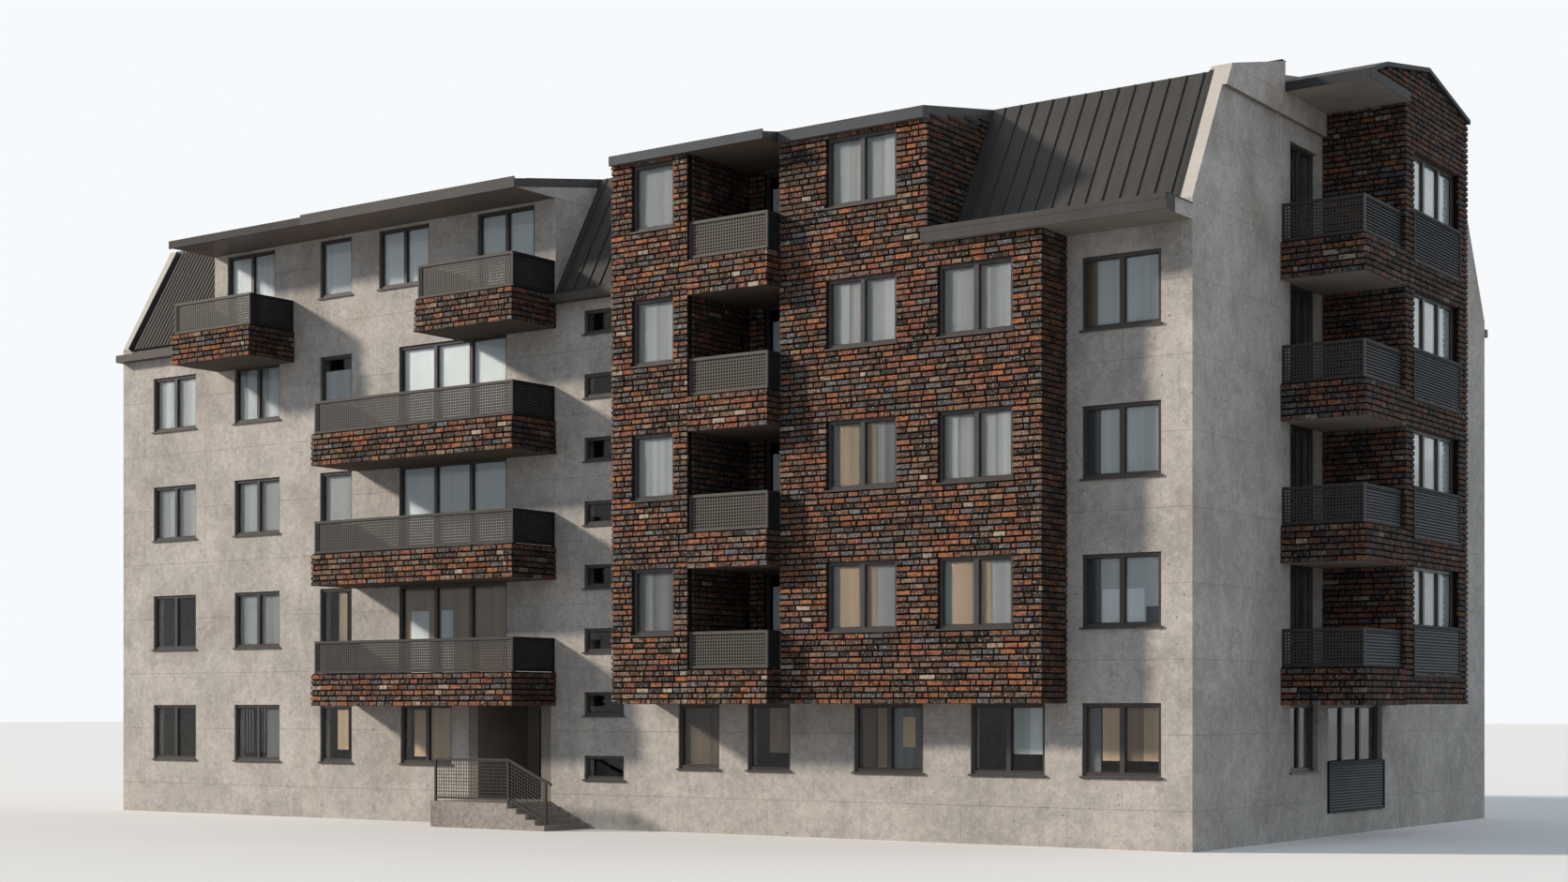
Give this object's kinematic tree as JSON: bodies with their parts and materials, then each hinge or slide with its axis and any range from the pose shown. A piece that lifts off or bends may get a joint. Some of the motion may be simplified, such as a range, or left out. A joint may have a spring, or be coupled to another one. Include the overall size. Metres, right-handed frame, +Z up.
{
  "type": "apartment block",
  "caption": "Apartment block of concrete walls under a metal mansard roof, with brick oriels, loggias and brick-clad balconies.",
  "frame": {"origin": "on the ground, under the middle of the block's bounding box", "axes": "+X runs along the street front to the right, +Y runs from the street front to the rear, +Z is up"},
  "size_m": [33.355, 18.96, 16.4622],
  "materials": {
    "concrete": "board-marked fair-faced concrete",
    "brick": "rough mixed brown and charcoal bricks with deep dark joints",
    "floor_slab": "smooth concrete",
    "roof_metal": "matt standing seam sheet",
    "rail_metal": "matt powder coat",
    "window_frame": "satin powder coat",
    "glass": "clear double glazing"
  },
  "bodies": {
    "root": {"ground_wall_left": "concrete", "ground_wall_right": "concrete", "front_wall_left": "concrete", "front_wall_right": "concrete", "stair_wall": "concrete", "attic_wall_front": "concrete", "attic_wall_rear": "concrete", "rear_wall": "concrete", "gable_wall_left": "concrete", "gable_wall_right": "concrete", "brick_tower_wall": "brick", "brick_block_wall": "brick", "gable_bay_wall": "brick", "loggia_walls": "brick", "loggia_aprons": "brick", "brick_soffit": "floor_slab", "floor_ground": "floor_slab", "upper_floors": "floor_slab", "roof_front": "roof_metal", "roof_rear": "roof_metal", "mansard_front": "roof_metal", "mansard_rear": "roof_metal", "bay_roof": "roof_metal", "gable_canopy": "concrete", "right_eave_slab": "concrete", "gutters": "roof_metal", "roof_edges": "roof_metal", "front_balconies": "brick", "gable_balconies": "brick", "front_balcony_rails": "rail_metal", "loggia_rails": "rail_metal", "gable_balcony_rails": "rail_metal", "louvre_panels": "rail_metal", "street_frames": "window_frame", "gable_frames": "window_frame", "rear_frames": "window_frame", "window_sills": "window_frame", "street_glass": "glass", "gable_glass": "glass", "rear_glass": "glass", "entrance_porch": "concrete", "entrance_door": "window_frame", "entrance_platform": "concrete", "entrance_steps": "concrete", "entrance_rail": "rail_metal"}
  },
  "joints": []
}
